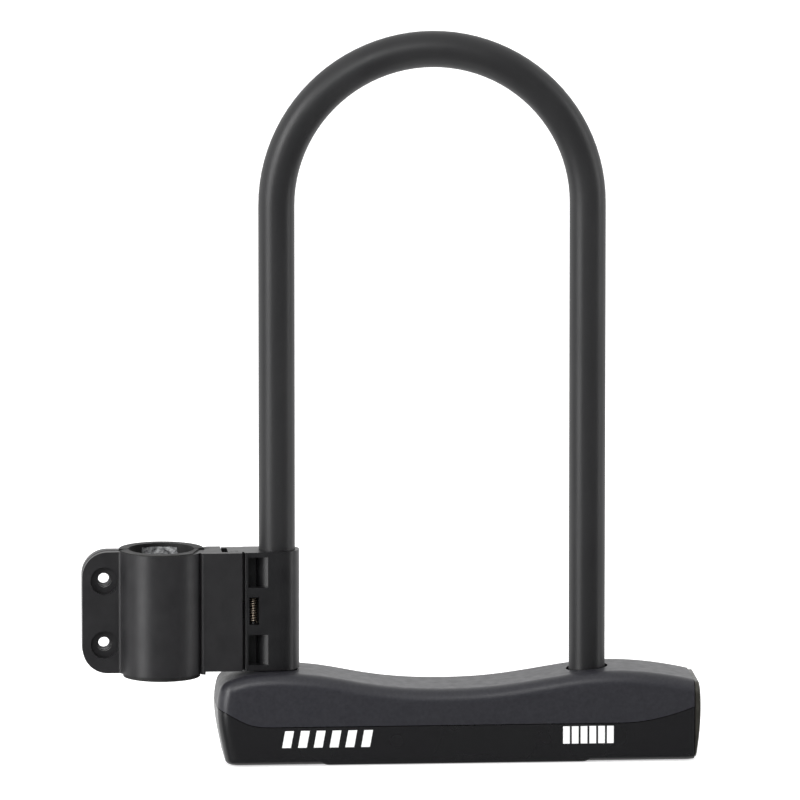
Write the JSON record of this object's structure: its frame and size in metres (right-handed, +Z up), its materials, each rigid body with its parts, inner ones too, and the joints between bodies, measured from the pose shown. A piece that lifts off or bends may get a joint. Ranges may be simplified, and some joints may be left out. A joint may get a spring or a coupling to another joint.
{
  "type": "bicycle u lock with frame bracket",
  "caption": "U lock with a vinyl-sleeved steel shackle, humped key-end crossbar and a quick-release frame bracket on one leg.",
  "frame": {"origin": "underside of the crossbar's foot, midway between the shackle legs", "axes": "+X along the crossbar towards the key end, +Y to the back, +Z up along the shackle"},
  "size_m": [0.2387, 0.0344, 0.2828],
  "materials": {
    "cover_skin": "soft-touch textured black",
    "shell_skin": "satin black",
    "rubber": "black rubber",
    "vinyl": "satin black vinyl sleeve",
    "bracket_plastic": "fine-grained black nylon",
    "liner_rubber": "black rubber",
    "grip_grey": "light grey rough pad",
    "steel": "hardened steel",
    "zinc": "zinc-plated die casting",
    "brass": "turned brass",
    "nylon": "natural nylon",
    "spring_steel": "yellow-passivated spring wire",
    "dark_zinc": "dark zinc"
  },
  "bodies": {
    "crossbar": {"top_cover": "cover_skin", "lower_shell": "shell_skin", "base_pad": "rubber", "crossbar_tube": "steel", "left_end_plug": "steel", "plug_pin": "steel", "bar_bearing": "nylon", "leg_guides": "nylon", "lock_housing": "zinc", "housing_pin": "steel", "drill_plate": "steel", "end_cap": "dark_zinc"},
    "key_plug": {"key_plug": "brass", "lock_discs": "brass", "sidebar": "steel"},
    "locking_bar": {"locking_bar": "steel"},
    "shutter": {"keyway_shutter": "dark_zinc"},
    "shackle": {"shackle_core": "steel", "shackle_sleeve": "vinyl"},
    "bracket": {"leg_carrier": "bracket_plastic", "clamp_front": "bracket_plastic", "liner_front": "liner_rubber", "latch_pin": "steel", "latch_spring": "spring_steel", "hinge_pin": "steel"},
    "latch": {"latch_lever": "bracket_plastic"},
    "clamp_back": {"clamp_back": "bracket_plastic", "liner_back": "liner_rubber", "grip_pad": "grip_grey", "clamp_nuts": "spring_steel"}
  },
  "joints": [
    {"name": "shackle_lift", "type": "slide", "parent": "crossbar", "child": "shackle", "axis": [0, 0, 1], "range_m": [0, 0.045]},
    {"name": "key_turn", "type": "hinge", "parent": "crossbar", "child": "key_plug", "pos_m": [0.0855, 0, 0.0144], "axis": [1, 0, 0], "range_deg": [0, 90]},
    {"name": "bar_turn", "type": "hinge", "parent": "crossbar", "child": "locking_bar", "pos_m": [0, 0, 0.0144], "axis": [1, 0, 0], "range_deg": [0, 90]},
    {"name": "shutter_slide", "type": "slide", "parent": "crossbar", "child": "shutter", "axis": [0, 0, 1], "range_m": [0, 0.0095]},
    {"name": "bracket_swivel", "type": "hinge", "parent": "shackle", "child": "bracket", "pos_m": [-0.06, 0, 0.059], "axis": [0, 0, 1], "range_deg": [-90, 90]},
    {"name": "latch_press", "type": "hinge", "parent": "bracket", "child": "latch", "pos_m": [-0.0696, -0.0054, 0.0593], "axis": [0, 0, -1], "range_deg": [0, 12], "stiffness_Nm_per_rad": 0.05},
    {"name": "clamp_open", "type": "hinge", "parent": "bracket", "child": "clamp_back", "pos_m": [-0.086, 0.005, 0.05905], "axis": [0, 0, -1], "range_deg": [0, 90]}
  ],
  "couplings": [
    {"joint": "bar_turn", "follows": "key_turn", "ratio": 1}
  ]
}
